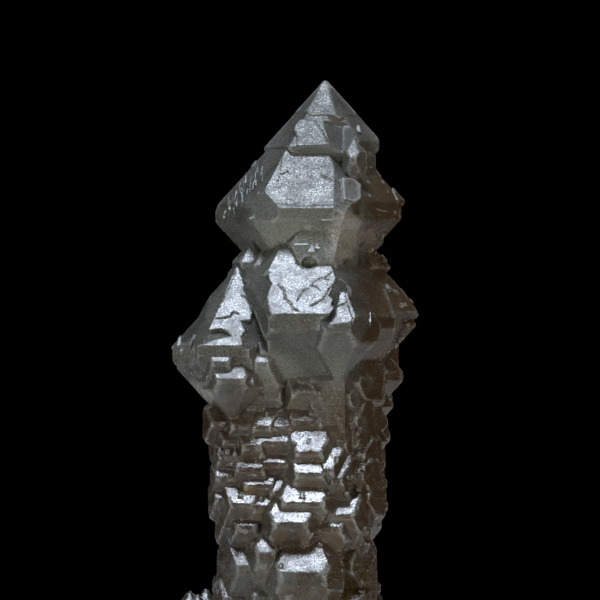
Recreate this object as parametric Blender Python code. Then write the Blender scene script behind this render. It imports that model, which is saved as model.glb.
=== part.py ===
"""A tall quartz specimen: stacked parallel crystals grown together in one piece, sawn flat underneath.

Every crystal is the space inside a set of flat faces: six upright prism faces, six
sloping faces above them and six below. The slopes keep quartz's own angle, so faces of
one kind are parallel all over the piece. Lengths in this file are in millimetres until
the piece is made, +Z is up, the viewer stands at -Y, and the origin is the middle of
the sawn base.
"""

import itertools
import math
import random

import bmesh
import bpy
import numpy as np
from mathutils import Vector

MM = 0.001
NODE = "quartz_specimen"

# A quartz crystal's own shape: the sloping faces rise this far from upright.
RISE = math.radians(38.2)
FALL = 1.0 / math.tan(RISE)
# The way that the front faces look: 0 is straight at the viewer, minus is to the viewer's left.
FRONT = math.radians(-5.0)
SIDES = 6
EVEN = (0.0,) * SIDES

# The trunk under the big crystals, and the ledges that cover its sides and back.
TRUNK_MIDDLE = (0.0, 0.0)
RING_HEIGHTS = (2.6, 6.8, 11.0, 15.0, 23.6, 27.6, 31.6, 35.8, 40.0, 44.0, 48.2, 52.0)
LEDGES_ROUND = 15
RING_SIZE = (2.6, 4.6)
RING_PROUD = (0.4, 1.4)
RING_BELT = (0.6, 2.4)
RING_WANDER = 1.0
FOOT_TOP = 20.0
FOOT_RING_SIZE = (2.0, 3.2)
FRONT_LEFT = math.radians(-58.0)
FRONT_RIGHT = math.radians(20.0)
SEED = 12

# The small crystals strewn over the upper half: how deep they sit, as a share of their size.
STUD_SEED = 3
STUD_SUNK = (0.5, 0.8)
STUD_BELT = (0.2, 1.6)
UNEVEN = (0.82, 1.18)

# How wide the saw's cut is, and the finest things that are welded, taken out or called flat.
SAW_WIDTH = 160.0
WELD = 0.004 * MM
SLIVERS = (0.05 * MM, 0.04 * MM, 0.03 * MM, 0.02 * MM, 0.01 * MM, 0.005 * MM)
FLAT = math.radians(0.05)

# How near to parallel faces may be that still meet in a corner, and how near to a face a corner lies on it.
PARALLEL = 1e-5
ON_FACE = 1e-6


def facing(azimuth, rise=0.0):
    """The outward normal of a face that looks towards azimuth and up by rise, both in radians."""
    return np.array(
        (
            math.sin(azimuth) * math.cos(rise),
            -math.cos(azimuth) * math.cos(rise),
            math.sin(rise),
        )
    )


def crystal(x, y, top, bottom, reach, lift=EVEN, drop=EVEN, cuts=()):
    """The faces of one crystal: their normals, and how far each lies along its normal.

    Its upright axis stands at x, y and would come to points at top and bottom. reach holds the
    distance of each prism face from the axis, and lift and drop move each upper and lower face up
    or down by that much. All three start at the front face and go round by the viewer's right.
    cuts are further faces: azimuth and rise in degrees, and a point on each.
    """
    normals = []
    reaches = []
    for side in range(SIDES):
        azimuth = FRONT + side * math.tau / SIDES
        faces = (
            (facing(azimuth), (x, y, 0.0), reach[side]),
            (facing(azimuth, RISE), (x, y, top + lift[side]), 0.0),
            (facing(azimuth, -RISE), (x, y, bottom - drop[side]), 0.0),
        )
        for normal, through, beyond in faces:
            normals.append(normal)
            reaches.append(normal @ np.array(through) + beyond)
    for azimuth, rise, through in cuts:
        normal = facing(math.radians(azimuth), math.radians(rise))
        normals.append(normal)
        reaches.append(normal @ np.array(through))
    return np.array(normals), np.array(reaches)


def corners(shape):
    """The corners of the space inside all the faces of a crystal."""
    normals, reaches = shape
    count = len(reaches)
    triples = np.array(
        [
            (i, j, k)
            for i in range(count)
            for j in range(i + 1, count)
            for k in range(j + 1, count)
        ]
    )
    sides = normals[triples]
    crossing = np.abs(np.linalg.det(sides)) > PARALLEL
    points = np.linalg.solve(sides[crossing], reaches[triples][crossing][..., None])[..., 0]
    inside = (points @ normals.T <= reaches + ON_FACE).all(axis=1)
    return points[inside]


def surface_point(shapes, start, azimuth):
    """Where a level line from start towards azimuth leaves the last of the crystals that it meets."""
    start = np.array(start)
    ahead = facing(azimuth)
    furthest = 0.0
    for normals, reaches in shapes:
        slant = normals @ ahead
        room = reaches - normals @ start
        leaves = (room[slant > ON_FACE] / slant[slant > ON_FACE]).min()
        enters = (room[slant < -ON_FACE] / slant[slant < -ON_FACE]).max()
        if enters < leaves:
            furthest = max(furthest, leaves)
    return start + ahead * furthest


def stud(chance, spot, azimuth, size, sunk, belt):
    """A small crystal of slightly uneven sides, its axis as far behind spot as sunk says."""
    x, y, level = spot - facing(azimuth) * sunk
    reach = [size * chance.uniform(*UNEVEN) for _ in range(SIDES)]
    top = level + belt / 2.0 + size * FALL
    bottom = level - belt / 2.0 - size * FALL
    return crystal(x, y, top, bottom, reach)


def ledge(left, right, foot, front, depth=5.0, belt=0.9, flare=2.4):
    """A small crystal given by its front face: its lower edge runs from left to right at height foot.

    front is how far that edge stands before y = 0, depth how far the prism's front face is from the
    crystal's axis, and belt how tall the upright face below the edge is. flare moves the sloping
    faces on the sides out, which leaves the front ones wide.
    """
    x = (left + right) / 2.0
    half = (right - left) / 2.0
    y = depth - front
    ahead = facing(FRONT)
    reach = []
    for side in range(SIDES):
        normal = facing(FRONT + side * math.tau / SIDES)
        if side == 0:
            reach.append(depth)
        elif side in (1, 5):
            across = half if side == 1 else -half
            reach.append(normal[0] * across - normal[1] * (depth + ahead[0] * across))
        else:
            reach.append(depth)
    top = foot + depth * FALL
    bottom = foot - belt - depth * FALL
    outward = (0.0, flare, flare, 0.0, flare, flare)
    return crystal(x, y, top, bottom, reach, lift=outward, drop=outward)


def shoulder():
    """The wide crystal under the tip."""
    return crystal(
        5.4,
        2.0,
        109.8,
        60.2,
        (18.6, 13.6, 12.4, 15.0, 19.5, 19.5),
        lift=(0, -5.0, -5.4, -3, 0.6, 2.2),
        drop=(0, -6.5, -8.5, -2, 1.2, 1.4),
        cuts=(
            (20.0, 36.5, (6.7, -8.54, 96.6)),
            (-35.0, 11.0, (-7.7, -12.3, 90.2)),
            (-35.0, -39.0, (-5.0, -15.8, 83.8)),
        ),
    )


def right_crystal():
    """The crystal that stands out to the right at the waist."""
    return crystal(
        9.0,
        0.0,
        82.6,
        48.6,
        (14.0, 13.4, 12.8, 12.4, 12.0, 12.0),
        lift=(0, 0, 0, 0, 2, 2),
        cuts=((85.0, 30.0, (22.6, 0.0, 67.2)),),
    )


def big_crystals():
    """The tip and its cap, the wide crystal under them, and the front of the cluster round the waist."""
    tip = crystal(
        5.4,
        2.0,
        111.84,
        84.0,
        (10.4, 9.4, 8.8, 10.0, 11.0, 11.0),
        lift=(0, 0, 0, 0, 0.7, 0.7),
        drop=(0, -2.0, -3.0, 0, 0, 0),
        cuts=((20.0, 36.5, (5.6, 2.0, 111.84)),),
    )
    cap = crystal(
        5.4,
        2.0,
        112.0,
        97.4,
        (5.5, 5.5, 5.0, 5.5, 5.5, 5.5),
        lift=(0, 0, 0, 0, 0.7, 0.7),
        cuts=((35.0, 39.0, (5.4, 2.0, 112.0)),),
    )
    under_shoulder = crystal(
        4.8,
        -9.6,
        90.0,
        66.0,
        (9.0, 6.0, 6.0, 6.0, 6.0, 8.4),
        cuts=(
            (-5.0, 20.0, (2.0, -17.9, 73.6)),
            (-72.0, -18.0, (-1.0, -15.4, 76.4)),
            (-20.0, -60.0, (2.0, -17.6, 73.4)),
            (62.0, -10.0, (8.8, -15.0, 76.0)),
        ),
    )
    waist_front = crystal(1.0, -6.2, 88.0, 39.2, (17.9, 18.3, 14.0, 16.0, 14.0, 13.85))
    left_upper = crystal(
        -12.5,
        -9.0,
        74.8,
        41.0,
        (12.4, 9.2, 9.0, 9.0, 11.0, 12.0),
        cuts=((-80.0, 24.0, (-21.6, -9.0, 60.6)),),
    )
    left_lower = crystal(-16.2, -11.4, 69.0, 45.6, (9.4, 8.6, 8.0, 8.0, 8.2, 7.8))
    left_inner = crystal(-8.6, -11.6, 66.4, 47.0, (7.6, 5.0, 6.0, 6.0, 5.6, 5.6))
    front = [under_shoulder, waist_front, left_upper, left_lower, left_inner]
    return [tip, cap, shoulder(), *front, right_crystal()]


def waist_steps():
    """Small crystals and steps on the front of the upper half."""
    return [
        # A step on the lower right of the waist's front face.
        ledge(5.0, 10.2, 62.6, 26.4, depth=8.0, flare=0.4),
        # Steps on the left crystal.
        ledge(-17.3, -13.9, 55.8, 21.9, depth=6.0, flare=0.8),
        ledge(-16.2, -10.6, 52.4, 22.6, depth=6.0, flare=0.2),
        ledge(-8.8, -6.0, 55.6, 20.6),
        # Between the shoulder and the left crystal.
        crystal(-9.6, -5.4, 80.0, 66.0, (3.6, 3.4, 3.4, 3.4, 3.4, 3.4)),
        crystal(-7.6, -9.4, 77.8, 69.0, (2.4, 2.2, 2.2, 2.2, 2.2, 2.4)),
        crystal(-6.6, -14.0, 72.6, 62.0, (2.4, 2.2, 2.2, 2.2, 2.2, 2.4)),
        # On the right of the tip.
        crystal(10.7, -8.4, 100.2, 91.0, (3.1, 2.2, 2.4, 2.4, 2.0, 2.0)),
        crystal(11.6, 0.0, 101.0, 86.0, (3.4, 3.1, 3.1, 3.0, 3.0, 3.0)),
        # Between the waist and the trunk.
        crystal(3.5, -9.5, 62.5, 40.0, (8.4, 8.0, 7.0, 7.0, 7.0, 7.0)),
        ledge(-1.4, 4.4, 49.8, 18.9),
        crystal(-6.6, -10.4, 58.0, 40.0, (6.4, 6.0, 6.0, 6.0, 6.0, 6.0)),
        crystal(10.0, -7.6, 59.0, 40.0, (7.4, 6.4, 6.0, 6.0, 6.0, 6.0)),
        crystal(14.2, -1.4, 60.8, 44.8, (5.8, 5.6, 5.6, 5.6, 5.6, 5.6)),
        crystal(12.8, -3.0, 54.0, 40.0, (6.0, 5.2, 5.2, 5.2, 5.2, 5.2)),
    ]


def waist_back():
    """The crystals behind the waist and the shoulder, smaller towards the top."""
    return [
        crystal(-4.0, 9.0, 84.0, 43.0, (12.0, 9.0, 10.0, 12.5, 11.0, 11.0)),
        crystal(9.5, 9.5, 79.0, 42.0, (8.0, 9.0, 9.0, 9.4, 8.0, 8.0)),
        crystal(-12.0, 2.0, 70.6, 44.0, (8.0, 7.0, 8.0, 8.4, 8.0, 7.6)),
        crystal(-1.5, 14.5, 72.0, 44.0, (7.0, 6.5, 7.0, 6.6, 6.0, 7.0)),
        crystal(10.5, 11.0, 98.0, 74.0, (6.0, 5.4, 6.0, 7.0, 6.0, 6.0)),
        crystal(0.0, 12.5, 101.0, 70.0, (7.0, 6.0, 6.0, 6.4, 6.6, 7.0)),
        crystal(12.4, 1.0, 81.0, 68.0, (5.2, 5.2, 5.4, 5.0, 5.0, 5.0)),
    ]


def studs():
    """Small crystals strewn over the right and the back of the upper half."""
    chance = random.Random(STUD_SEED)
    upper = [shoulder()] + waist_back()[4:6]
    lower = [right_crystal()] + waist_back()[:4]
    places = (
        (upper, (5.4, 2.0), (84.0, 114.0), (75.0, 97.0), (1.0, 2.4), 20),
        (upper, (5.4, 4.0), (110.0, 262.0), (75.0, 98.0), (1.4, 3.6), 18),
        (lower, (4.0, 2.0), (72.0, 120.0), (50.0, 70.0), (1.2, 2.4), 10),
        (lower, (0.0, 4.0), (120.0, 262.0), (48.0, 76.0), (1.4, 3.6), 22),
    )
    shapes = []
    for hosts, (x, y), (first, last), (low, high), sizes, count in places:
        for _ in range(count):
            level = chance.uniform(low, high)
            azimuth = math.radians(chance.uniform(first, last))
            size = chance.uniform(*sizes)
            sunk = size * chance.uniform(*STUD_SUNK)
            spot = surface_point(hosts, (x, y, level), azimuth)
            shapes.append(stud(chance, spot, azimuth, size, sunk, chance.uniform(*STUD_BELT)))
    return shapes


def trunk():
    """The columns that the ledges sit on, and the narrower stem inside them."""
    return [
        crystal(-9.2, -6.6, 64.0, 15.4, (9.6, 7.4, 9.0, 9.0, 5.6, 6.0)),
        crystal(6.4, -7.6, 66.0, 12.0, (11.0, 8.4, 8.6, 9.6, 9.6, 8.4)),
        crystal(6.2, 4.0, 68.0, 13.0, (11.0, 9.2, 9.6, 10.6, 11.0, 11.0)),
        crystal(-6.6, 5.2, 68.0, 15.6, (10.0, 10.0, 10.0, 10.0, 7.8, 7.6)),
        crystal(-4.4, -4.0, 60.0, -40.0, (9.6, 8.0, 9.0, 9.0, 6.8, 6.8)),
        crystal(5.0, -3.0, 60.0, -40.0, (11.0, 6.8, 7.0, 9.0, 9.0, 8.0)),
        crystal(0.0, 3.6, 60.0, -40.0, (10.0, 9.6, 9.6, 9.4, 9.6, 9.6)),
    ]


def front_ledges():
    """The ledges of the two columns on the front: left, right, foot and front of each one's edge."""
    right_column = (
        (-1.4, 4.6, 44.0, 18.8),
        (4.2, 7.6, 43.4, 18.4),
        (7.2, 11.4, 44.6, 17.2),
        (-0.6, 4.6, 38.1, 21.6),
        (4.4, 9.4, 39.6, 18.8),
        (8.8, 13.0, 37.4, 16.8),
        (-0.6, 5.0, 33.8, 22.4),
        (4.6, 6.6, 34.6, 22.2),
        (6.2, 8.4, 32.6, 21.8),
        (8.0, 12.8, 33.6, 18.4),
        (-3.2, 5.2, 28.0, 23.2),
        (5.6, 10.8, 25.6, 21.4),
        (9.6, 13.8, 29.0, 17.4),
        (-5.0, 1.8, 24.0, 24.4),
        (1.6, 8.6, 23.0, 21.6),
    )
    left_column = (
        (-13.4, -9.4, 43.4, 18.0),
        (-9.2, -5.6, 43.0, 18.6),
        (-5.2, -1.8, 43.0, 18.4),
        (-15.2, -10.8, 40.2, 17.4),
        (-11.2, -7.4, 39.2, 19.0),
        (-7.2, -1.9, 40.0, 18.8),
        (-12.4, -7.0, 34.8, 18.8),
        (-7.6, -2.0, 35.8, 18.6),
        (-10.8, -5.2, 31.4, 18.8),
        (-5.8, -2.2, 30.2, 19.4),
        (-13.6, -9.0, 27.8, 19.4),
        (-9.0, -5.2, 27.2, 19.6),
        (-12.6, -8.4, 23.2, 18.8),
    )
    outer = (
        (-17.6, -14.6, 43.8, 16.0),
        (-15.8, -11.6, 37.2, 17.6),
        (-16.4, -12.2, 33.0, 17.2),
        (-16.6, -13.2, 28.6, 16.8),
        (-15.2, -12.0, 23.6, 16.4),
        (8.0, 12.6, 21.8, 17.6),
    )
    foot = (
        (-3.8, 5.6, 14.2, 25.8),
        (-12.4, -8.0, 15.4, 19.4),
        (6.0, 10.6, 16.4, 17.4),
        (-9.0, -3.6, 9.4, 19.6),
        (-2.0, 6.8, 7.0, 20.6),
    )
    foot_outer = (
        (9.4, 12.6, 12.6, 15.0),
        (7.4, 11.8, 7.6, 17.6),
        (-15.0, -11.0, 8.8, 16.6),
    )
    shapes = [ledge(*place) for place in right_column + left_column]
    shapes += [ledge(*place, depth=3.0) for place in outer]
    shapes += [ledge(*place, depth=6.5, belt=2.2) for place in foot]
    shapes.append(ledge(-8.4, -4.8, 18.0, 22.4, depth=4.4, belt=2.2, flare=0.0))
    return shapes + [ledge(*place, depth=4.0, belt=2.2) for place in foot_outer]


def foot_cluster():
    """The lumps round the stem at the foot."""
    return [
        crystal(-10.8, -6.0, 19.2, -6.0, (6.0, 5.0, 5.0, 5.4, 4.0, 4.2)),
        crystal(-12.4, 3.0, 16.0, -8.0, (5.0, 5.0, 5.4, 5.0, 4.0, 4.2)),
        crystal(9.0, -6.0, 17.0, -9.0, (5.6, 4.6, 5.0, 5.0, 5.0, 5.0)),
        crystal(10.2, 2.0, 17.0, -9.0, (5.4, 4.2, 4.2, 5.0, 5.0, 5.0)),
        crystal(13.0, -3.0, 12.0, -9.0, (5.4, 4.2, 4.0, 5.0, 5.0, 5.0)),
        crystal(-9.0, 11.0, 16.0, -9.0, (5.0, 5.4, 5.0, 5.8, 5.0, 5.0)),
        crystal(2.0, 13.0, 18.0, -9.0, (6.0, 5.0, 5.0, 5.4, 5.0, 5.6)),
        crystal(9.0, 10.4, 15.0, -9.0, (6.0, 5.0, 5.0, 5.4, 5.0, 5.6)),
    ]


def foot_spread():
    """The low lumps that reach out at the foot to the left."""
    return [
        crystal(-18.8, -5.0, 10.6, -6.0, (5.6, 5.0, 5.0, 5.4, 4.6, 4.8)),
        crystal(-22.0, -3.0, 10.2, -8.0, (5.4, 5.0, 5.0, 5.6, 4.6, 4.8)),
        crystal(-20.4, -9.0, 9.8, -8.0, (4.6, 4.4, 4.4, 4.4, 4.2, 4.4)),
        crystal(-15.4, -11.4, 11.4, -8.0, (4.8, 4.6, 4.4, 4.4, 4.2, 4.4)),
    ]


def side_ledges():
    """Rings of ledges round the sides and back of the trunk, in an order that only the seed sets."""
    chance = random.Random(SEED)
    columns = trunk() + foot_cluster()
    shapes = []
    for height in RING_HEIGHTS:
        turn = chance.uniform(0.0, math.tau)
        for step in range(LEDGES_ROUND):
            azimuth = (turn + step * math.tau / LEDGES_ROUND) % math.tau - math.pi
            size = chance.uniform(*(RING_SIZE if height > FOOT_TOP else FOOT_RING_SIZE))
            sunk = size - chance.uniform(*RING_PROUD)
            level = height + chance.uniform(-RING_WANDER, RING_WANDER)
            belt = chance.uniform(*RING_BELT)
            if FRONT_RIGHT > azimuth > FRONT_LEFT:
                continue
            spot = surface_point(columns, (*TRUNK_MIDDLE, level), azimuth)
            shapes.append(stud(chance, spot, azimuth, size, sunk, belt))
    return shapes


def hollows():
    """Round pits that grew round something since gone: middle and half-widths of each."""
    return (
        ((9.0, -4.9, 103.4), (3.6, 1.6, 1.5)),
        ((1.8, -16.2, 75.4), (1.7, 1.7, 1.4)),
        ((10.4, -18.4, 30.4), (1.8, 1.6, 1.5)),
    )


def hull_mesh(shape):
    """A crystal as a closed mesh, its flat faces left whole."""
    mesh = bmesh.new()
    for corner in corners(shape):
        mesh.verts.new(Vector(corner) * MM)
    bmesh.ops.remove_doubles(mesh, verts=mesh.verts, dist=WELD)
    bmesh.ops.convex_hull(mesh, input=mesh.verts)
    loose = [vert for vert in mesh.verts if not vert.link_faces]
    bmesh.ops.delete(mesh, geom=loose, context="VERTS")
    bmesh.ops.dissolve_limit(mesh, angle_limit=FLAT, verts=mesh.verts, edges=mesh.edges)
    bmesh.ops.recalc_face_normals(mesh, faces=mesh.faces)
    return mesh


def as_object(name, mesh):
    """A scene object that holds a bmesh."""
    data = bpy.data.meshes.new(name)
    mesh.to_mesh(data)
    mesh.free()
    thing = bpy.data.objects.new(name, data)
    bpy.context.scene.collection.objects.link(thing)
    return thing


def applied(thing):
    """Gives thing the mesh that its modifiers make, and takes them off."""
    graph = bpy.context.evaluated_depsgraph_get()
    made = bpy.data.meshes.new_from_object(thing.evaluated_get(graph))
    thing.modifiers.clear()
    thing.data = made


def join(body, other, operation="UNION"):
    """Joins other into body, or cuts it away, and removes it."""
    modifier = body.modifiers.new(operation.lower(), "BOOLEAN")
    modifier.operation = operation
    modifier.solver = "EXACT"
    modifier.object = other
    applied(body)
    bpy.data.objects.remove(other)


def grown_together(shapes):
    """One body from all the crystals, joined in pairs, then pairs of pairs."""
    bodies = [as_object(f"crystal_{index}", hull_mesh(shape)) for index, shape in enumerate(shapes)]
    while len(bodies) > 1:
        for first, second in zip(bodies[::2], bodies[1::2]):
            join(first, second)
        bodies = bodies[::2]
    return bodies[0]


def hollowed(body):
    """Cuts the round pits into the body."""
    for middle, half_widths in hollows():
        pit = bmesh.new()
        bmesh.ops.create_icosphere(pit, subdivisions=2, radius=MM)
        bmesh.ops.scale(pit, verts=pit.verts, vec=half_widths)
        bmesh.ops.translate(pit, verts=pit.verts, vec=Vector(middle) * MM)
        join(body, as_object("pit", pit), "DIFFERENCE")


def saw_off(body):
    """Cuts the body flat at z = 0."""
    saw = bmesh.new()
    bmesh.ops.create_cube(saw, size=SAW_WIDTH * MM)
    bmesh.ops.translate(saw, verts=saw.verts, vec=(0.0, 0.0, -SAW_WIDTH / 2.0 * MM))
    join(body, as_object("saw", saw), "DIFFERENCE")


def without_slivers(data, width, method):
    """The mesh as triangles, with corners closer than width made one and faces cut up by method."""
    mesh = bmesh.new()
    mesh.from_mesh(data)
    bmesh.ops.remove_doubles(mesh, verts=mesh.verts, dist=width)
    bmesh.ops.dissolve_limit(mesh, angle_limit=FLAT, verts=mesh.verts, edges=mesh.edges)
    bmesh.ops.triangulate(mesh, faces=mesh.faces, ngon_method=method)
    keep_outside(mesh)
    return mesh


def keep_outside(mesh):
    """Fills the small gaps shut in between crystals: only the surface that holds the tip stays."""
    tip = max(mesh.verts, key=lambda vert: vert.co.z)
    outside = {tip}
    edge_of_search = [tip]
    while edge_of_search:
        vert = edge_of_search.pop()
        for edge in vert.link_edges:
            other = edge.other_vert(vert)
            if other not in outside:
                outside.add(other)
                edge_of_search.append(other)
    shut_in = [vert for vert in mesh.verts if vert not in outside]
    bmesh.ops.delete(mesh, geom=shut_in, context="VERTS")


def is_closed(mesh):
    """Whether every edge has two faces and no two parts of the surface touch at a corner."""
    return all(edge.is_manifold for edge in mesh.edges) and all(vert.is_manifold for vert in mesh.verts)


def cleaned(body):
    """Takes the widest slivers out that leave the body closed, and puts its middle over the origin."""
    for width, method in itertools.product(SLIVERS, ("BEAUTY", "EAR_CLIP")):
        mesh = without_slivers(body.data, width, method)
        if is_closed(mesh):
            break
        mesh.free()
    else:
        raise ValueError("the surface doesn't close")
    places = np.array([vert.co for vert in mesh.verts])
    middle = (places.min(axis=0) + places.max(axis=0)) / 2.0
    bmesh.ops.translate(mesh, verts=mesh.verts, vec=(-middle[0], -middle[1], -places.min(axis=0)[2]))
    mesh.to_mesh(body.data)
    mesh.free()
    return width


def quartz_material():
    """Grey smoky quartz."""
    material = bpy.data.materials.new("quartz")
    material.use_nodes = True
    shader = material.node_tree.nodes["Principled BSDF"]
    shader.inputs["Base Color"].default_value = (0.42, 0.42, 0.38, 1.0)
    shader.inputs["Roughness"].default_value = 0.25
    shader.inputs["Metallic"].default_value = 0.0
    shader.inputs["IOR"].default_value = 1.54
    return material


def main():
    for thing in list(bpy.data.objects):
        bpy.data.objects.remove(thing)
    shapes = big_crystals() + waist_steps() + waist_back() + studs()
    shapes += trunk() + front_ledges() + foot_cluster() + foot_spread() + side_ledges()
    body = grown_together(shapes)
    hollowed(body)
    saw_off(body)
    width = cleaned(body)
    body.name = NODE
    body.data.name = NODE
    body.data.materials.clear()
    body.data.materials.append(quartz_material())
    print("crystals", len(shapes), "triangles", len(body.data.polygons), "slivers taken out to", width)


main()
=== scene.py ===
"""The looks of the quartz specimen: growth plates, striations, cloudy crystal, stains, light and camera.

Lengths in this file are in millimetres, measured as in the part's source: from the middle of
the sawn base, +Z up, the camera at -Y. An outline is a list of places across and up, as the
camera sees them, on one named crystal face.
"""

import math
import random

import bmesh
import bpy
import numpy as np
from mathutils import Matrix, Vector, noise
from mathutils.bvhtree import BVHTree

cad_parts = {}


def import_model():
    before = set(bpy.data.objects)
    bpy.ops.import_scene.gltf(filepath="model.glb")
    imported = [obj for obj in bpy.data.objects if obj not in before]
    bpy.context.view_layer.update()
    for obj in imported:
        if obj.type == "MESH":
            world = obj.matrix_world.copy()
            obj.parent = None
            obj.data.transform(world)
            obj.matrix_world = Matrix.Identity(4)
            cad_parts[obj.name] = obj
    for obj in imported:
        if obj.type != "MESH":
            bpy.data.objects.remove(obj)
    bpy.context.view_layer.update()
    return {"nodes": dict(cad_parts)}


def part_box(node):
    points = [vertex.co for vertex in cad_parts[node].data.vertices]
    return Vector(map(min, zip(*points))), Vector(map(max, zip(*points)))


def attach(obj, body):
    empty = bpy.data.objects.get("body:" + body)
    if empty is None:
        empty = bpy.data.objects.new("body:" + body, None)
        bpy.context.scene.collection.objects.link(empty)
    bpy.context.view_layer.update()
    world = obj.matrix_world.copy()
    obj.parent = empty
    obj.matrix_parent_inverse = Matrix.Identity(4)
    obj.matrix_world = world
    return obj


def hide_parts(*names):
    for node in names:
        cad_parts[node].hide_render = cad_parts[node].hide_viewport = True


MM = 0.001
NODE = "quartz_specimen"

# The crystal's own angles and its tip, as in the part's source.
RISE = math.radians(38.2)
FALL = 1.0 / math.tan(RISE)
FRONT = math.radians(-5.0)
SIDES = 6
SIDE_STEP = 60.0
TIP = Vector((5.4, 2.0, 112.0))

# The camera: level, in front of the middle of the photograph.
CAMERA_HEIGHT = 68.0
CAMERA_AWAY = 1500.0
LENS = 450.0
SENSOR = 36.0

# How fine the shown surface is, in front and elsewhere, and from how many triangles on it isn't cut finer.
FRONT_EDGE = 0.40
BACK_EDGE = 1.0
EDGE_SLACK = 1.4
REFINE_ROUNDS = 9
MANY_TRIANGLES = 150000
# The front: faces whose normals point no further than this towards +Y, in front of this y.
FRONT_LOOKS = 0.35
FRONT_REACH = 4.0

# What is welded, what counts as flat, and the angle from which an edge stays sharp.
WELD = 0.001 * MM
SLIVER = 0.008 * MM
FLAT = math.radians(0.05)
CREASE = math.radians(28.0)

# How much the edges are rounded at each height, in how many rounds, and up to where the foot stays sharp.
SOFT_HEIGHTS = (0.0, 44.0, 52.0, 112.0)
SOFT_SHARES = (0.34, 0.30, 0.06, 0.04)
SOFT_ROUNDS = 2
SOFT_SHORTEST = 1e-7
SOFT_LONGEST = 1.0 * MM
BASE_EDGE = 0.3

# Lumps all over: how wide and how high they are, and how much finer and lower the second set of them is.
LUMP_SIZE = 1.5
LUMP_HEIGHT = 0.035
LUMP_ON_TRUNK = 0.13
LUMP_ON_MIRROR = 0.003
LUMP_ON_TRUNK_MIRROR = 0.35
LUMP_FINER = 2.3
LUMP_LOWER = 0.5
# Level lines on upright faces.
STRIA_SIZE = 0.9
STRIA_HEIGHT = 0.06
STRIA_STRETCH = 0.06
STRIA_UPRIGHT = 2.5
# The faces that mirror the key light, by how nearly they look its way, and where the trunk begins.
MIRROR_FROM = 0.93
MIRROR_SPAN = 0.06
TRUNK_TOP = 52.0
TRUNK_FADE = 8.0

# The crystal's colours, cloudy to clear, its stains and its specks, and a pale colour for dots, worn edges
# and painted edge highlights.
GREY_DARK = (0.16, 0.165, 0.14, 1.0)
GREY_PALE = (0.30, 0.31, 0.28, 1.0)
BROWN = (0.15, 0.078, 0.022, 1.0)
TRUNK_BROWN = (0.14, 0.078, 0.035, 1.0)
RUST = (0.22, 0.12, 0.05, 1.0)
SPECK = (0.02, 0.015, 0.012, 1.0)
PALE_DOTS_WEAR_AND_HIGHLIGHT = (0.62, 0.64, 0.62, 1.0)
DUST_DARK = (0.07, 0.07, 0.055, 1.0)

# Noise textures: scale, detail and roughness.
CLOUDS = (110.0, 4.0, 0.6)
PATCHES = (320.0, 4.0, 0.6)
GRAIN = (1500.0, 4.0, 0.7)
RUST_SPOTS = (240.0, 3.0, 0.6)
DUST = (2200.0, 4.0, 0.75)
FROSTING = (3000.0, 3.0, 0.6)
LINES = (2400.0, 3.0, 0.6)
HILLS = (1700.0, 5.0, 0.75)
STRIAE = (2600.0, 3.0, 0.6)
# Cell textures for dots and specks: scale, and how far from a cell's middle a spot fades in.
DOT_SCALE = 1100.0
SPECK_SCALE = 900.0
SPOT = (0.20, 0.10)
# How textures are squeezed along X, Y and Z.
LINE_STRETCH = (0.10, 0.10, 1.0)
STRIAE_STRETCH = (1.0, 1.0, 0.22)
DOT_STRETCH = (1.3, 1.3, 1.0)

# Texture values between which each thing comes in, and then its share of the colour.
CLOUD_SHOWS = (0.36, 0.64)
RUST_SHOWS = (0.62, 0.70)
RUST_SHARE = 0.4
DUST_SHOWS = (0.52, 0.40)
DUST_SHARE = 0.45
DOTS_SHOW = (0.50, 0.56)
DOT_SHARE = 0.8
SPECKS_SHOW = (0.48, 0.56)
SPECK_SHARE = 0.9
# Pale convex edges: partly wear, partly a painted highlight along the edges.
WEAR_AND_HIGHLIGHT_EDGES = (0.508, 0.54)
WEAR_AND_HIGHLIGHT_SHOWS = (0.3, 0.6)
WEAR_AND_HIGHLIGHT_SHARE = 0.85
# Brown comes in between these places across, with these shares above and below these heights.
BROWN_ACROSS = (11.5, 16.5)
BROWN_UNDER = (96.0, 91.0)
BROWN_SHARES = (0.1, 0.9)
BROWN_RAGGED = 20.0
TRUNK_BROWN_UNDER = (56.0, 44.0)
TRUNK_BROWN_SHARES = (0.0, 0.8)
TRUNK_BROWN_SHOWS = (0.30, 0.55)
BLOT_RAGGED = 6.0
BLOT_CORE = 0.4

# Roughness, as sums of changes between two heights: waist to shoulder, tip, trunk and foot.
FROST = (
    ((82.0, 86.0), (0.31, 0.40)),
    ((96.5, 98.5), (0.0, 0.05)),
    ((46.0, 54.0), (-0.17, 0.0)),
    ((22.0, 18.0), (0.0, 0.10)),
)
MIRROR_SHADES = (0.955, 0.985)
SMOOTHER_OFF_MIRROR = 0.08
FROSTING_SHOWS = (0.36, 0.64)
FROSTING_ADDS = (-0.07, 0.10)
FROSTING_HEIGHTS = (80.0, 86.0)
FROSTING_GROWS = (1.0, 1.5)
DRIFT_SHOWS = (0.40, 0.60)
DRIFT_ADDS = (-0.03, 0.07)

# Fine relief: lines on upright faces, hills off the mirroring faces and striae on them.
UPRIGHT_SHADES = (0.45, 0.1)
LINES_HIGH = 1.2
HILLS_HIGH = 1.6
HILLS_LOWER = 1.2
STRIAE_HIGH = 0.5
RELIEF_DISTANCE = 0.08
RELIEF_STRENGTH = 0.8

# Quartz as a clear body: how it bends, lets through and swallows light.
IOR = 1.54
TRANSMISSION = 0.65
ABSORBED = (0.76, 0.78, 0.74, 1.0)
ABSORPTION = 40.0

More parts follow.
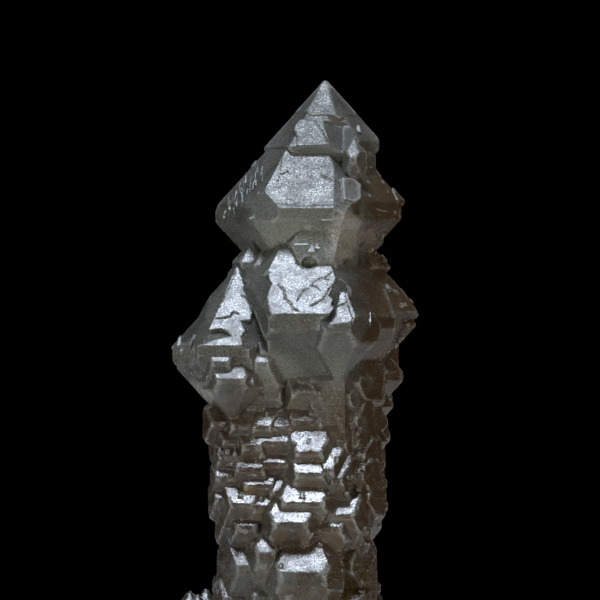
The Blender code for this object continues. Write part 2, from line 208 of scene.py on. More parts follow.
# The lights: direction, distance, size, power and colour. The key light's direction is worked out.
LIGHT_AIM = 60.0
KEY_LIGHT = (600.0, 190.0, 3.5, (0.76, 0.85, 1.0))
FAINT_LIGHTS = (
    ("right", (0.8, -0.7, 0.0), 900.0, 400.0, 3.0, (1.0, 0.86, 0.68)),
    ("left", (-0.7, -0.8, -0.12), 900.0, 400.0, 3.3, (1.0, 0.97, 0.90)),
    ("behind", (0.1, 1.0, 0.5), 900.0, 500.0, 1.2, (1.0, 0.98, 0.95)),
)

# The floor stays small enough to lie outside the photograph's view.
FLOOR_RADIUS = 150.0
FLOOR_SIDES = 96
FLOOR_GAP = 0.2
FLOOR_COLOUR = (0.62, 0.61, 0.59, 1.0)
FLOOR_ROUGHNESS = 0.8
ROOM_COLOUR = (0.0, 0.0, 0.0, 1.0)


def facing(azimuth, rise=0.0):
    """The outward normal of a face that looks towards azimuth and up by rise, both in radians."""
    return Vector(
        (
            math.sin(azimuth) * math.cos(rise),
            -math.cos(azimuth) * math.cos(rise),
            math.sin(rise),
        )
    )


class Face:
    """A flat crystal face: a point on it and the way it looks."""

    def __init__(self, point, azimuth=FRONT, rise=RISE):
        self.point = Vector(point)
        self.normal = facing(azimuth, rise)

    def spot(self, across, up, proud):
        """The place on the face at across and up, moved out by proud."""
        normal = self.normal
        sideways = normal.x * (across - self.point.x) + normal.z * (up - self.point.z)
        return Vector((across, self.point.y - sideways / normal.y, up)) + normal * proud


TIP_FACE = Face((5.4, 2.0, 111.84))
SHOULDER_FACE = Face((5.4, 2.0, 109.8))
SHOULDER_RIGHT = Face((6.7, -8.54, 96.6), math.radians(20.0), math.radians(36.5))
WAIST_FACE = Face((1.0, -6.2, 88.0))
LEFT_FACE = Face((-12.5, -9.0, 74.8))

# Thin growth plates on the faces: face, thickness and outline. They are rooted this deep.
PLATE_ROOT = 0.8
PLATES = (
    (
        TIP_FACE,
        0.16,
        (
            (-0.2, 103.8), (0.6, 104.1), (3.2, 103.6), (4.4, 101.8), (5.2, 100.4),
            (5.9, 98.9), (-0.8, 98.7), (-0.6, 100.4), (-1.2, 102.2),
        ),
    ),
    (
        SHOULDER_RIGHT,
        0.3,
        ((8.2, 92.2), (10.6, 92.0), (12.0, 90.8), (12.0, 88.2), (10.8, 87.3), (8.6, 87.9)),
    ),
    (
        WAIST_FACE,
        0.25,
        ((8.0, 69.4), (8.8, 69.6), (9.5, 66.8), (10.3, 64.6), (9.6, 62.4), (5.4, 62.7), (7.1, 65.0)),
    ),
)

# Parts of the faces that lie lower: face, depth at the middle, how the floor leans across and up, outline.
# What cuts them starts above the face, and its floor stays this deep at least.
SUNKEN_ABOVE = 0.6
SUNKEN_LEAST = 0.05
SUNKEN = (
    (
        # The gap between the waist's big shining part and the small one right of it.
        WAIST_FACE,
        0.8,
        (0.42, -0.21),
        (
            (6.4, 75.2), (7.3, 73.4), (7.3, 72.4), (6.4, 70.6), (5.7, 69.0), (6.5, 68.2),
            (6.0, 67.2), (6.7, 66.6), (5.8, 65.3), (4.2, 64.4), (3.0, 63.6), (5.4, 62.6),
            (7.0, 64.8), (7.6, 67.4), (7.9, 69.8), (9.3, 69.8), (9.3, 75.2),
        ),
    ),
    (
        # Right of the plate on the tip.
        TIP_FACE,
        0.6,
        (0.5, 0.0),
        ((4.6, 103.7), (5.0, 102.2), (5.6, 100.6), (6.2, 98.4), (8.4, 98.4), (8.4, 103.7)),
    ),
    (
        # Left of the waist's shining part.
        WAIST_FACE,
        0.9,
        (-0.5, 0.0),
        (
            (-10.5, 73.4), (-6.4, 73.2), (-5.6, 71.3), (-6.0, 70.4), (-6.4, 69.4),
            (-6.6, 68.2), (-6.0, 65.5), (-5.9, 63.6), (-10.5, 63.6),
        ),
    ),
    (
        # Right of the left crystal's shining part.
        LEFT_FACE,
        0.9,
        (0.5, 0.0),
        (
            (-11.6, 72.0), (-10.4, 69.6), (-9.2, 66.8), (-9.8, 64.1), (-11.8, 63.9), (-10.8, 62.0),
            (-11.6, 60.8), (-11.2, 58.6), (-6.4, 58.6), (-7.4, 66.0), (-9.0, 71.0),
        ),
    ),
    (
        # Left of it.
        LEFT_FACE,
        0.5,
        (-0.5, 0.0),
        (
            (-12.6, 74.0), (-14.2, 70.4), (-16.0, 66.6), (-17.6, 63.0), (-19.2, 59.2),
            (-22.0, 59.2), (-20.6, 64.0), (-15.0, 72.6),
        ),
    ),
    (
        # The dark wedge above the lowest bright strip of the left crystal.
        LEFT_FACE,
        0.5,
        (0.0, 0.45),
        (
            (-18.2, 62.2), (-15.6, 62.5), (-14.4, 61.8), (-13.6, 60.9),
            (-15.6, 60.6), (-17.6, 60.1), (-19.0, 59.3),
        ),
    ),
)

# Cracks and the dark edges of growth steps: face, width, depth and the line they follow.
# What cuts them starts above the face, and is this share as wide at both ends.
CRACK_ABOVE = 0.5
CRACK_ENDS = 0.4
CRACKS = (
    (
        WAIST_FACE,
        0.10,
        0.12,
        ((7.2, 72.4), (6.6, 71.0), (5.8, 70.2), (4.6, 68.2), (3.2, 67.4), (2.0, 66.8)),
    ),
    (
        WAIST_FACE,
        0.11,
        0.12,
        ((-4.4, 71.0), (-3.2, 69.8), (-2.9, 68.4), (-1.6, 67.2), (-1.2, 66.2), (-0.2, 65.8)),
    ),
    (
        WAIST_FACE,
        0.07,
        0.07,
        ((6.4, 73.6), (5.0, 72.4), (3.8, 72.2), (1.6, 70.4), (0.6, 69.8), (-0.6, 67.8)),
    ),
    (WAIST_FACE, 0.06, 0.06, ((2.2, 70.8), (3.2, 70.6), (4.0, 69.9))),
    (WAIST_FACE, 0.06, 0.06, ((4.8, 72.2), (5.6, 72.0), (5.5, 71.0))),
    (WAIST_FACE, 0.16, 0.3, ((7.4, 66.6), (8.4, 67.0), (9.4, 67.6))),
    (LEFT_FACE, 0.18, 0.3, ((-16.8, 64.3), (-15.0, 64.5), (-13.8, 64.8), (-13.2, 65.6), (-12.2, 65.2))),
    (LEFT_FACE, 0.10, 0.15, ((-11.6, 69.0), (-10.8, 68.6), (-10.2, 67.8))),
    (SHOULDER_FACE, 0.12, 0.1, ((-4.0, 93.1), (-3.2, 93.2), (-2.6, 93.5), (-2.2, 93.3))),
    (SHOULDER_FACE, 0.10, 0.06, ((-3.6, 96.0), (-4.0, 93.2), (-4.8, 90.4))),
    (SHOULDER_FACE, 0.10, 0.06, ((4.4, 92.8), (5.2, 92.4), (6.6, 91.8))),
    (SHOULDER_FACE, 0.10, 0.05, ((-4.6, 87.2), (-1.0, 86.7), (2.6, 86.6), (6.6, 86.8))),
)

# Small ledges on the front: left, right, the height of the lower edge and how tall the lit face is.
GLINTS = (
    (-1.2, 4.0, 49.7, 1.2),
    (-10.2, -7.6, 84.1, 0.2),
    (4.0, 6.8, 83.8, 0.2),
    (-1.6, 2.0, 78.9, 0.2),
    (1.6, 3.0, 77.6, 0.7),
    (2.8, 4.0, 78.2, 0.5),
    (-15.0, -11.0, 35.3, 0.2),
    (-15.0, -11.2, 34.6, 0.15),
    (-16.4, -15.4, 37.6, 0.9),
    (-14.9, -13.7, 37.8, 1.1),
    (-13.3, -12.4, 37.4, 0.9),
    (9.6, 10.6, 33.0, 0.9),
    (12.0, 13.0, 34.6, 0.8),
    (8.8, 9.8, 29.6, 1.2),
    (11.0, 12.2, 30.4, 1.0),
    (-24.4, -23.4, 59.0, 0.9),
    (-23.8, -22.8, 57.8, 0.8),
    (-21.8, -20.6, 53.6, 0.5),
    (-20.2, -19.0, 53.2, 0.4),
    (-18.6, -17.2, 52.8, 0.5),
    (-10.2, -9.0, 51.6, 1.0),
    (-9.1, -8.4, 59.0, 1.0),
    (11.0, 12.2, 101.6, 0.6),
    (14.6, 16.0, 81.2, 0.5),
    (13.6, 15.0, 78.2, 0.5),
    (13.5, 14.1, 63.7, 1.2),
)
# How deep a small ledge sits in the surface, how wide its buried edges are and how steep its underside is.
GLINT_BURIED = 0.6
GLINT_TOP_WIDTH = 0.3
GLINT_FOOT_WIDTH = 0.7
GLINT_UNDER = 0.5

# The steep bright dashes at the shoulder's left corner: a row of them, strewn about its line.
DASHES = 46
DASH_FIRST = (-15.9, 84.8)
DASH_STEP = (0.16, 0.19)
DASH_LEFT = (-0.3, 1.6)
DASH_FOOT = (-1.4, 1.0)
DASH_WIDTH = (0.1, 0.4)
DASH_HEIGHT = (0.2, 1.3)

# The sparks on the trunk.
SPARK_SEED = 9
SPARKS = 70
SPARK_ACROSS = (-16.0, 14.0)
SPARK_WIDTH = (0.2, 1.0)
SPARK_UP = (9.0, 46.0)
SPARK_HEIGHT = (0.15, 0.5)

# Small crystals strewn over the surface: azimuths in degrees from the viewer's side, heights, sizes, number.
CRUMB_SEED = 4
CRUMBS = (
    ((-75.0, -45.0), (86.0, 91.0), (0.25, 0.5), 12),
    ((-80.0, -60.0), (57.0, 60.5), (0.3, 0.6), 6),
    ((50.0, 100.0), (84.0, 95.0), (0.25, 0.6), 12),
    ((70.0, 110.0), (50.0, 82.0), (0.4, 1.0), 26),
    ((110.0, 250.0), (46.0, 98.0), (0.5, 1.5), 70),
    ((-80.0, 80.0), (9.0, 47.0), (0.25, 0.6), 60),
    ((80.0, 280.0), (2.0, 50.0), (0.5, 1.4), 70),
)
CRUMB_ASIDE = (-4.0, 4.0)
CRUMB_SUNK = (0.3, 0.8)
CRUMB_BELT = (0.1, 0.6)

# How far from the crystal's axis a line starts that looks for the surface.
OUTSIDE = 80.0

# Stains, pale places and painted light on faces in shade: where across and up, how far they reach, colour
# and share.
STAINS_AND_PAINTED_LIGHT = (
    # Painted light: the lower front, under the shoulder, made paler where it lies in shade.
    ((0.0, 80.0), 11.0, (0.36, 0.38, 0.33, 1.0), 0.7),
    # Painted light: the lower right face, which faces down and lies in shade, made pale.
    ((11.4, 82.0), 4.4, (0.95, 0.92, 0.86, 1.0), 0.95),
    ((10.0, 77.6), 3.4, (0.80, 0.78, 0.72, 1.0), 0.9),
    ((16.8, 75.0), 1.6, (0.60, 0.30, 0.16, 1.0), 0.8),
    ((15.4, 80.6), 1.4, (0.45, 0.30, 0.18, 1.0), 0.5),
    ((-8.0, 30.4), 1.8, (0.30, 0.19, 0.05, 1.0), 0.8),
    ((-21.4, 57.6), 3.4, (0.50, 0.50, 0.45, 1.0), 0.8),
    # Painted light: the left crystal's lower left face made pale, as if lit from low at the left.
    ((-18.6, 49.0), 4.0, (0.80, 0.77, 0.68, 1.0), 0.9),
    ((-7.0, 12.0), 8.0, (0.34, 0.34, 0.29, 1.0), 0.7),
    ((-15.0, 43.0), 3.2, (0.13, 0.06, 0.035, 1.0), 0.7),
    ((11.5, 12.0), 8.0, (0.13, 0.075, 0.008, 1.0), 0.95),
    ((14.4, 69.6), 4.6, (0.07, 0.035, 0.016, 1.0), 0.6),
)


def metres(lengths):
    """Lengths of this file in metres."""
    return tuple(length * MM for length in lengths)


def held(value):
    """value held between 0 and 1."""
    return min(max(value, 0.0), 1.0)


def crystal_shift(node):
    """Where this file's origin lies in the row frame, in metres, found by the crystal's tip."""
    highest = max(node.data.vertices, key=lambda vertex: (round(vertex.co.z, 5), vertex.co.x)).co
    return Vector(highest) - TIP * MM


def prism(bottom, top):
    """A closed mesh between two outlines of the same number of corners."""
    mesh = bmesh.new()
    count = len(top)
    low = [mesh.verts.new(place) for place in bottom]
    high = [mesh.verts.new(place) for place in top]
    mesh.faces.new(high)
    mesh.faces.new(list(reversed(low)))
    for i in range(count):
        j = (i + 1) % count
        mesh.faces.new((low[i], low[j], high[j], high[i]))
    bmesh.ops.recalc_face_normals(mesh, faces=mesh.faces)
    if mesh.calc_volume(signed=True) < 0.0:
        bmesh.ops.reverse_faces(mesh, faces=mesh.faces)
    return mesh


def plate(face, thickness, outline):
    """A growth plate that stands on a face."""
    bottom = [face.spot(across, up, -PLATE_ROOT) for across, up in outline]
    top = [face.spot(across, up, thickness) for across, up in outline]
    return prism(bottom, top)


def sunken(face, depth, lean, outline):
    """What is taken away to leave a lower, leaning floor inside an outline on a face."""
    middle = np.mean(outline, axis=0)
    bottom = []
    for across, up in outline:
        here = depth + lean[0] * (across - middle[0]) + lean[1] * (up - middle[1])
        bottom.append(face.spot(across, up, -max(here, SUNKEN_LEAST)))
    top = [face.spot(across, up, SUNKEN_ABOVE) for across, up in outline]
    return prism(bottom, top)


def crack(face, width, depth, line):
    """What is taken away along a crack: a narrow band that is narrower at both ends."""
    points = [Vector(place) for place in line]
    last = len(points) - 1
    left, right = [], []
    for i, point in enumerate(points):
        along = points[min(i + 1, last)] - points[max(i - 1, 0)]
        aside = Vector((-along.y, along.x)).normalized() * width / 2.0
        if i in (0, last):
            aside *= CRACK_ENDS
        left.append(point + aside)
        right.append(point - aside)
    outline = left + right[::-1]
    bottom = [face.spot(place.x, place.y, -depth) for place in outline]
    top = [face.spot(place.x, place.y, CRACK_ABOVE) for place in outline]
    return prism(bottom, top)


def crumb(middle, size, belt):
    """A small crystal that stands as all the others do."""
    half_step = math.radians(SIDE_STEP / 2.0)
    rings = []
    for level in (-belt / 2.0, belt / 2.0):
        ring = []
        for side in range(SIDES):
            azimuth = FRONT + math.radians(SIDE_STEP / 2.0 + SIDE_STEP * side)
            corner = facing(azimuth) * size / math.cos(half_step)
            ring.append(middle + corner + Vector((0.0, 0.0, level)))
        rings.append(ring)
    mesh = prism(*rings)
    for face_up in (True, False):
        caps = [face for face in mesh.faces if len(face.verts) == SIDES and (face.normal.z > 0.0) == face_up]
        rise = size * FALL * (1.0 if face_up else -1.0)
        made = bmesh.ops.poke(mesh, faces=caps)
        for vert in made["verts"]:
            vert.co.z += rise
    bmesh.ops.recalc_face_normals(mesh, faces=mesh.faces)
    return mesh


def glint(tree, shift, left, right, foot, height):
    """A small ledge on the front: its lit face rises from foot by height, between left and right."""
    ahead = facing(FRONT)
    along = Vector((-ahead.y, ahead.x, 0.0))
    start = Vector(((left + right) / 2.0, -OUTSIDE, foot))
    hit = tree.ray_cast(start * MM + shift, Vector((0.0, 1.0, 0.0)))[0]
    if hit is None:
        return []
    middle = (hit - shift) / MM
    depth = height / FALL
    inside = depth + GLINT_BURIED
    section = (
        (depth, 0.0, 1.0),
        (-GLINT_BURIED, inside * FALL, GLINT_TOP_WIDTH),
        (-GLINT_BURIED, -inside * FALL * GLINT_UNDER, GLINT_FOOT_WIDTH),
    )
    ends = []
    for side in (left - right, right - left):
        end = []
        for out, rise, wide in section:
            end.append(middle + ahead * out + along * side / 2.0 * wide + Vector((0.0, 0.0, rise)))
        ends.append(end)
    return [prism(*ends)]


def glints(tree, shift):
    """All the small ledges: those at known places, the row of dashes and the strewn sparks."""
    chance = random.Random(SPARK_SEED)
    places = list(GLINTS)
    for i in range(DASHES):
        left = DASH_FIRST[0] + i * DASH_STEP[0] + chance.uniform(*DASH_LEFT)
        foot = DASH_FIRST[1] + i * DASH_STEP[1] + chance.uniform(*DASH_FOOT)
        right = left + chance.uniform(*DASH_WIDTH)
        places.append((left, right, foot, chance.uniform(*DASH_HEIGHT)))
    for _ in range(SPARKS):
        left = chance.uniform(*SPARK_ACROSS)
        right = left + chance.uniform(*SPARK_WIDTH)
        foot = chance.uniform(*SPARK_UP)
        places.append((left, right, foot, chance.uniform(*SPARK_HEIGHT)))
    return [shape for place in places for shape in glint(tree, shift, *place)]


def crumbs(tree, shift):
    """The small crystals, each set where a level line from outside meets the surface."""
    chance = random.Random(CRUMB_SEED)
    shapes = []
    for (first, last), (low, high), sizes, count in CRUMBS:
        for _ in range(count):
            azimuth = math.radians(chance.uniform(first, last))
            level = chance.uniform(low, high)
            size = chance.uniform(*sizes)
            out = facing(azimuth)
            aside = Vector((-out.y, out.x, 0.0)) * chance.uniform(*CRUMB_ASIDE)
            start = out * OUTSIDE + Vector((0.0, 0.0, level)) + aside
            hit = tree.ray_cast(start * MM + shift, -out)[0]
            if hit is None:
                continue
            spot = (hit - shift) / MM - out * size * chance.uniform(*CRUMB_SUNK)
            shapes.append(crumb(spot, size, chance.uniform(*CRUMB_BELT)))
    return shapes


def as_object(name, meshes, shift):
    """One scene object that holds several bmeshes, moved into the row frame."""
    whole = bmesh.new()
    for mesh in meshes:
        data = bpy.data.meshes.new(name)
        mesh.to_mesh(data)
        mesh.free()
        whole.from_mesh(data)
        bpy.data.meshes.remove(data)
    bmesh.ops.scale(whole, verts=whole.verts, vec=(MM, MM, MM))
    bmesh.ops.translate(whole, verts=whole.verts, vec=shift)
    data = bpy.data.meshes.new(name)
    whole.to_mesh(data)
    whole.free()
    thing = bpy.data.objects.new(name, data)
    bpy.context.scene.collection.objects.link(thing)
    return thing


def combine(piece, other, operation):
    """Joins other to piece, or cuts it away, and removes it."""
    joint = piece.modifiers.new("combine", "BOOLEAN")
    joint.object = other
    joint.operation = operation
    joint.solver = "EXACT"
    joint.use_self = True
    graph = bpy.context.evaluated_depsgraph_get()
    made = bpy.data.meshes.new_from_object(piece.evaluated_get(graph))
    piece.modifiers.clear()
    piece.data = made
    bpy.data.objects.remove(other)


def refine(mesh, shift):
    """Cuts long edges in two until the surface is fine enough, finest in front."""
    for _ in range(REFINE_ROUNDS):
        long_edges = []
        for edge in mesh.edges:
            a, b = edge.verts
            place = (a.co + b.co) / 2.0 - shift
            front = edge.link_faces[0].normal.y < FRONT_LOOKS and place.y < FRONT_REACH * MM
            wanted = (FRONT_EDGE if front else BACK_EDGE) * MM
            if (a.co - b.co).length > wanted * EDGE_SLACK:
                long_edges.append(edge)
        if not long_edges or len(mesh.faces) > MANY_TRIANGLES:
            break
        bmesh.ops.subdivide_edges(mesh, edges=long_edges, cuts=1)
        uneven = [face for face in mesh.faces if len(face.verts) > 3]
        bmesh.ops.triangulate(mesh, faces=uneven, quad_method="BEAUTY", ngon_method="BEAUTY")


def surface_arrays(mesh):
    """Corner places and the pairs of corners that edges join, as arrays."""
    places = np.array([vert.co for vert in mesh.verts])
    mesh.verts.index_update()
    pairs = np.array([(edge.verts[0].index, edge.verts[1].index) for edge in mesh.edges])
    return places, pairs


def soften(mesh, shift):
    """Rounds the edges: slightly on the big crystals, more on the trunk, as if partly dissolved."""
    places, pairs = surface_arrays(mesh)
    heights = (places[:, 2] - shift.z) / MM
    share = np.interp(heights, SOFT_HEIGHTS, SOFT_SHARES)
    share[heights < BASE_EDGE] = 0.0
    first, second = pairs[:, 0], pairs[:, 1]
    lengths = np.maximum(np.linalg.norm(places[first] - places[second], axis=1), SOFT_SHORTEST)
    count = np.zeros(len(places))
    weights = np.minimum(lengths, SOFT_LONGEST)
    np.add.at(count, first, weights)
    np.add.at(count, second, weights)
    for _ in range(SOFT_ROUNDS):
        total = np.zeros_like(places)
        np.add.at(total, first, places[second] * weights[:, None])
        np.add.at(total, second, places[first] * weights[:, None])
        places += (total / count[:, None] - places) * share[:, None]
    for vert, place in zip(mesh.verts, places):
        vert.co = place


def roughen(mesh, shift):
    """Moves the surface in and out a little: lumps, least on mirroring faces, and level striations."""
    mesh.normal_update()
    mirror = facing(FRONT, RISE)
    for vert in mesh.verts:
        place = (vert.co - shift) / MM
        if place.z < BASE_EDGE:
            continue
        normal = vert.normal
        bright = held((normal.dot(mirror) - MIRROR_FROM) / MIRROR_SPAN)
        trunk = held((TRUNK_TOP - place.z) / TRUNK_FADE)
        lump = noise.noise(place / LUMP_SIZE) + LUMP_LOWER * noise.noise(place / LUMP_SIZE * LUMP_FINER)
        rough = LUMP_HEIGHT + (LUMP_ON_TRUNK - LUMP_HEIGHT) * trunk
        mirror_rough = LUMP_ON_MIRROR + (LUMP_ON_TRUNK - LUMP_ON_MIRROR) * trunk * LUMP_ON_TRUNK_MIRROR
        height = lump * (rough + (mirror_rough - rough) * bright)
        upright = max(0.0, 1.0 - abs(normal.z) * STRIA_UPRIGHT)
        level = Vector((place.x * STRIA_STRETCH, place.y * STRIA_STRETCH, place.z / STRIA_SIZE))
        height += noise.noise(level) * STRIA_HEIGHT * upright
        vert.co += normal * (height * MM)


def keep_inside(mesh, low, high):
    """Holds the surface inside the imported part's own box."""
    for vert in mesh.verts:
        for axis in range(3):
            vert.co[axis] = min(max(vert.co[axis], low[axis]), high[axis])


class Graph:
    """Short ways to add shader nodes to one material."""

    def __init__(self, material):
        self.nodes = material.node_tree.nodes
        self.links = material.node_tree.links

    def feed(self, socket, value):
        """Links value to a socket, or sets it there."""
        if isinstance(value, bpy.types.NodeSocket):
            self.links.new(value, socket)
        else:
            socket.default_value = value

    def node(self, kind, **sockets):
        """A node with some of its sockets fed by name."""
        made = self.nodes.new(kind)
        for name, value in sockets.items():
            self.feed(made.inputs[name], value)
        return made

    def maths(self, operation, first, second=0.0):
        """The result of one operation on two values."""
        made = self.nodes.new("ShaderNodeMath")
        made.operation = operation
        self.feed(made.inputs[0], first)
        self.feed(made.inputs[1], second)
        return made.outputs[0]

    def times(self, first, second):
        return self.maths("MULTIPLY", first, second)

    def minus(self, first, second):
        return self.maths("SUBTRACT", first, second)

    def plus(self, first, *others):
        for other in others:
            first = self.maths("ADD", first, other)
        return first

    def vectors(self, operation, output, first, second):
        """One measure of a linked vector against a fixed one."""
        made = self.nodes.new("ShaderNodeVectorMath")
        made.operation = operation
        self.feed(made.inputs[0], first)
        made.inputs[1].default_value = second
        return made.outputs[output]

    def span(self, value, low, high, to_low=0.0, to_high=1.0):
        """value mapped from low..high to to_low..to_high, smoothly, and held there."""
        made = self.nodes.new("ShaderNodeMapRange")
        made.interpolation_type = "SMOOTHSTEP"
        for socket, fed in zip(made.inputs, (value, low, high, to_low, to_high)):
            self.feed(socket, fed)
        return made.outputs[0]

    def noise(self, where, scale, detail, roughness):
        made = self.node("ShaderNodeTexNoise", Vector=where, Scale=scale, Detail=detail, Roughness=roughness)
        return made.outputs["Fac"]

    def cells(self, where, scale):
        """How far each place is from the middle of its cell."""
        return self.node("ShaderNodeTexVoronoi", Vector=where, Scale=scale).outputs["Distance"]

    def stretched(self, where, scale):
        return self.node("ShaderNodeMapping", Vector=where, Scale=scale).outputs[0]

    def ragged(self, value, patch, reach):
        """value made uneven by reach, a length of this file, as patch goes."""
        return self.plus(value, self.times(self.minus(patch, 0.5), reach * MM))

    def mix(self, share, first, second):
        """first, with a share of second over it, as colours."""
        made = self.nodes.new("ShaderNodeMix")
        made.data_type = "RGBA"
        self.feed(made.inputs[0], share)
        self.feed(made.inputs[6], first)
        self.feed(made.inputs[7], second)
        return made.outputs[2]


def crystal_colour(g, where, across, up, patch):
    """Cloudy grey, brown to the right and on the trunk, with stains, painted light on some shaded faces,
    dust, dots, specks, and pale edges that are partly wear and partly a painted highlight.
    """
    grain = g.noise(where, *GRAIN)
    body = g.mix(g.span(g.noise(where, *CLOUDS), *CLOUD_SHOWS), GREY_DARK, GREY_PALE)
    right = g.span(g.ragged(across, patch, BROWN_RAGGED), *metres(BROWN_ACROSS))
    right = g.times(right, g.span(up, *metres(BROWN_UNDER), *BROWN_SHARES))
    body = g.mix(right, body, BROWN)
    low = g.span(up, *metres(TRUNK_BROWN_UNDER), *TRUNK_BROWN_SHARES)
    body = g.mix(g.times(low, g.span(patch, *TRUNK_BROWN_SHOWS)), body, TRUNK_BROWN)
    flat = g.node("ShaderNodeCombineXYZ", X=across, Y=0.0, Z=up).outputs[0]
    # Stains, and painted light on some shaded faces.
    for (x, z), reach, colour, share in STAINS_AND_PAINTED_LIGHT:
        away = g.vectors("DISTANCE", "Value", flat, metres((x, 0.0, z)))
        ends = metres((reach, reach * BLOT_CORE))
        body = g.mix(g.span(g.ragged(away, patch, BLOT_RAGGED), *ends, 0.0, share), body, colour)
    rust = g.span(g.noise(where, *RUST_SPOTS), *RUST_SHOWS)
    body = g.mix(g.times(rust, RUST_SHARE), body, RUST)
    body = g.mix(g.span(g.noise(where, *DUST), *DUST_SHOWS, 0.0, DUST_SHARE), body, DUST_DARK)
    dots = g.span(g.cells(g.stretched(where, DOT_STRETCH), DOT_SCALE), *SPOT)
    dots = g.times(dots, g.span(grain, *DOTS_SHOW))
    body = g.mix(g.times(dots, DOT_SHARE), body, PALE_DOTS_WEAR_AND_HIGHLIGHT)
    specks = g.span(g.cells(where, SPECK_SCALE), *SPOT)
    specks = g.times(specks, g.span(patch, *SPECKS_SHOW))
    body = g.mix(g.times(specks, SPECK_SHARE), body, SPECK)
    # Convex edges made pale: partly edge wear, partly a painted highlight along the edges.
    edge = g.node("ShaderNodeNewGeometry").outputs["Pointiness"]
    wear_and_edge_highlight = g.times(g.span(edge, *WEAR_AND_HIGHLIGHT_EDGES), g.span(grain, *WEAR_AND_HIGHLIGHT_SHOWS))
    return g.mix(g.times(wear_and_edge_highlight, WEAR_AND_HIGHLIGHT_SHARE), body, PALE_DOTS_WEAR_AND_HIGHLIGHT)


def crystal_roughness(g, where, up, patch, bright):
    """Frost by height, a little less off the mirroring faces, with fine grain and slow drift."""
    frost = g.plus(*[g.span(up, *metres(heights), *values) for heights, values in FROST])
    frost = g.minus(frost, g.times(g.minus(1.0, bright), SMOOTHER_OFF_MIRROR))
    grainy = g.span(g.noise(where, *FROSTING), *FROSTING_SHOWS, *FROSTING_ADDS)
    grainy = g.times(grainy, g.span(up, *metres(FROSTING_HEIGHTS), *FROSTING_GROWS))
    drift = g.span(patch, *DRIFT_SHOWS, *DRIFT_ADDS)
    return g.plus(frost, grainy, drift)


def crystal_relief(g, where, looks, bright):
    """The surface's bumps that are too fine for the mesh."""
    steep = g.maths("ABSOLUTE", g.node("ShaderNodeSeparateXYZ", Vector=looks).outputs["Z"])
    upright = g.span(steep, *UPRIGHT_SHADES)
    lines = g.noise(g.stretched(where, LINE_STRETCH), *LINES)
    hills = g.noise(where, *HILLS)
    striae = g.noise(g.stretched(where, STRIAE_STRETCH), *STRIAE)
    height = g.plus(
        g.times(lines, g.times(upright, LINES_HIGH)),
        g.times(hills, g.minus(HILLS_HIGH, g.times(bright, HILLS_LOWER))),
        g.times(striae, g.times(bright, STRIAE_HIGH)),
    )
    bump = g.node("ShaderNodeBump", Height=height, Distance=RELIEF_DISTANCE * MM, Strength=RELIEF_STRENGTH)
    return bump.outputs[0]


def quartz_material():
    """Cloudy quartz: frosted faces, brown stain to the right, dark specks and striations."""
    material = bpy.data.materials.new("cloudy_quartz")
    material.use_nodes = True
    g = Graph(material)
    shader = g.nodes["Principled BSDF"]
    where = g.node("ShaderNodeTexCoord").outputs["Object"]
    place = g.node("ShaderNodeSeparateXYZ", Vector=where)
    across, up = place.outputs["X"], place.outputs["Z"]
    patch = g.noise(where, *PATCHES)
    looks = g.node("ShaderNodeNewGeometry").outputs["Normal"]
    bright = g.span(g.vectors("DOT_PRODUCT", "Value", looks, facing(FRONT, RISE)), *MIRROR_SHADES)
    g.feed(shader.inputs["Base Color"], crystal_colour(g, where, across, up, patch))
    g.feed(shader.inputs["Roughness"], crystal_roughness(g, where, up, patch, bright))
    g.feed(shader.inputs["Normal"], crystal_relief(g, where, looks, bright))
    shader.inputs["IOR"].default_value = IOR
    shader.inputs["Transmission Weight"].default_value = TRANSMISSION
    inside = g.node("ShaderNodeVolumeAbsorption")
    inside.inputs["Color"].default_value = ABSORBED
    inside.inputs["Density"].default_value = ABSORPTION
    g.links.new(inside.outputs[0], g.nodes["Material Output"].inputs["Volume"])
    return material


def make_specimen(node, shift):
    """The specimen's shown surface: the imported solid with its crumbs, plates, cracks and fine relief."""
    low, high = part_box(NODE)
    solid = bmesh.new()
    solid.from_mesh(node.data)
    bmesh.ops.remove_doubles(solid, verts=solid.verts, dist=WELD)
    bmesh.ops.dissolve_limit(solid, angle_limit=FLAT, verts=solid.verts, edges=solid.edges)
    data = bpy.data.meshes.new("specimen")
    solid.to_mesh(data)
    tree = BVHTree.FromBMesh(solid)
    solid.free()
    piece = bpy.data.objects.new("specimen", data)
    bpy.context.scene.collection.objects.link(piece)

    added = crumbs(tree, shift) + glints(tree, shift) + [plate(*values) for values in PLATES]
    combine(piece, as_object("added", added, shift), "UNION")
    combine(piece, as_object("lower_parts", [sunken(*values) for values in SUNKEN], shift), "DIFFERENCE")
    combine(piece, as_object("cracks", [crack(*values) for values in CRACKS], shift), "DIFFERENCE")

    fine = bmesh.new()
    fine.from_mesh(piece.data)
    bmesh.ops.remove_doubles(fine, verts=fine.verts, dist=SLIVER)
    bmesh.ops.triangulate(fine, faces=fine.faces)
    refine(fine, shift)
    soften(fine, shift)
    roughen(fine, shift)
    keep_inside(fine, low, high)
    for face in fine.faces:
        face.smooth = True
    fine.to_mesh(piece.data)
    fine.free()
    piece.data.set_sharp_from_angle(angle=CREASE)
    piece.data.materials.clear()
    piece.data.materials.append(quartz_material())
    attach(piece, "root")
    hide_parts(NODE)
    print("specimen", len(piece.data.polygons), "triangles")


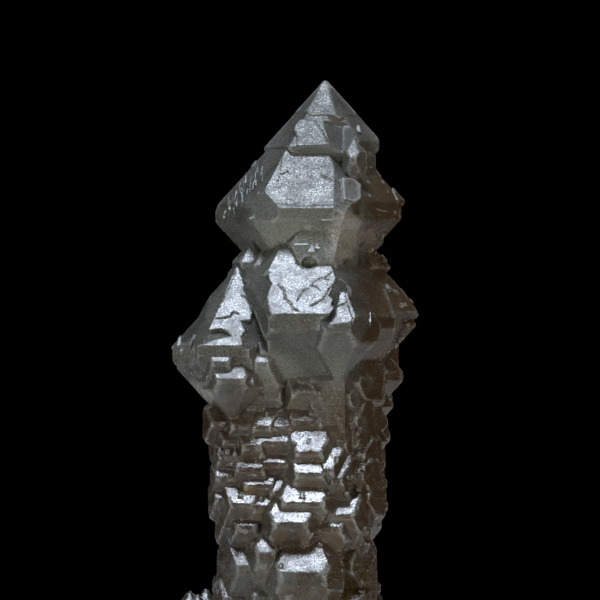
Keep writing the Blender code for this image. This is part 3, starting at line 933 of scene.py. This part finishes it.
def make_camera(shift):
    """A long lens, level and in front of the crystal, as the photograph was taken."""
    data = bpy.data.cameras.new("camera")
    data.lens = LENS
    data.sensor_width = SENSOR
    camera = bpy.data.objects.new("camera", data)
    camera.location = (shift.x, -CAMERA_AWAY * MM, CAMERA_HEIGHT * MM)
    camera.rotation_euler = (math.pi / 2.0, 0.0, 0.0)
    bpy.context.scene.collection.objects.link(camera)
    bpy.context.scene.camera = camera


def soft_light(name, direction, away, size, power, colour):
    """A square soft light that looks at the crystal from the given direction."""
    data = bpy.data.lights.new(name, "AREA")
    data.size = size * MM
    data.energy = power
    data.color = colour
    light = bpy.data.objects.new(name, data)
    direction = Vector(direction).normalized()
    light.location = (direction * away + Vector((0.0, 0.0, LIGHT_AIM))) * MM
    light.rotation_euler = (-direction).to_track_quat("-Z", "Y").to_euler()
    bpy.context.scene.collection.objects.link(light)


def make_lights():
    """One soft light where every front face mirrors it to the camera, and faint ones round about."""
    normal = facing(FRONT, RISE)
    to_camera = Vector((0.0, -1.0, 0.0))
    mirrored = 2.0 * normal.dot(to_camera) * normal - to_camera
    soft_light("key", mirrored, *KEY_LIGHT)
    for values in FAINT_LIGHTS:
        soft_light(*values)


def make_surroundings():
    """A pale round floor and a black room."""
    bm = bmesh.new()
    bmesh.ops.create_circle(bm, cap_ends=True, segments=FLOOR_SIDES, radius=FLOOR_RADIUS * MM)
    mesh = bpy.data.meshes.new("floor")
    bm.to_mesh(mesh)
    bm.free()
    floor = bpy.data.objects.new("floor", mesh)
    floor.location.z = -FLOOR_GAP * MM
    bpy.context.scene.collection.objects.link(floor)
    material = bpy.data.materials.new("floor")
    material.use_nodes = True
    shader = material.node_tree.nodes["Principled BSDF"]
    shader.inputs["Base Color"].default_value = FLOOR_COLOUR
    shader.inputs["Roughness"].default_value = FLOOR_ROUGHNESS
    mesh.materials.append(material)
    world = bpy.data.worlds.new("room")
    world.use_nodes = True
    world.node_tree.nodes["Background"].inputs["Color"].default_value = ROOM_COLOUR
    bpy.context.scene.world = world


def main():
    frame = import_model()
    node = frame["nodes"][NODE]
    shift = crystal_shift(node)
    make_camera(shift)
    make_lights()
    make_surroundings()
    make_specimen(node, shift)
    bpy.context.scene.view_settings.view_transform = "Standard"


main()
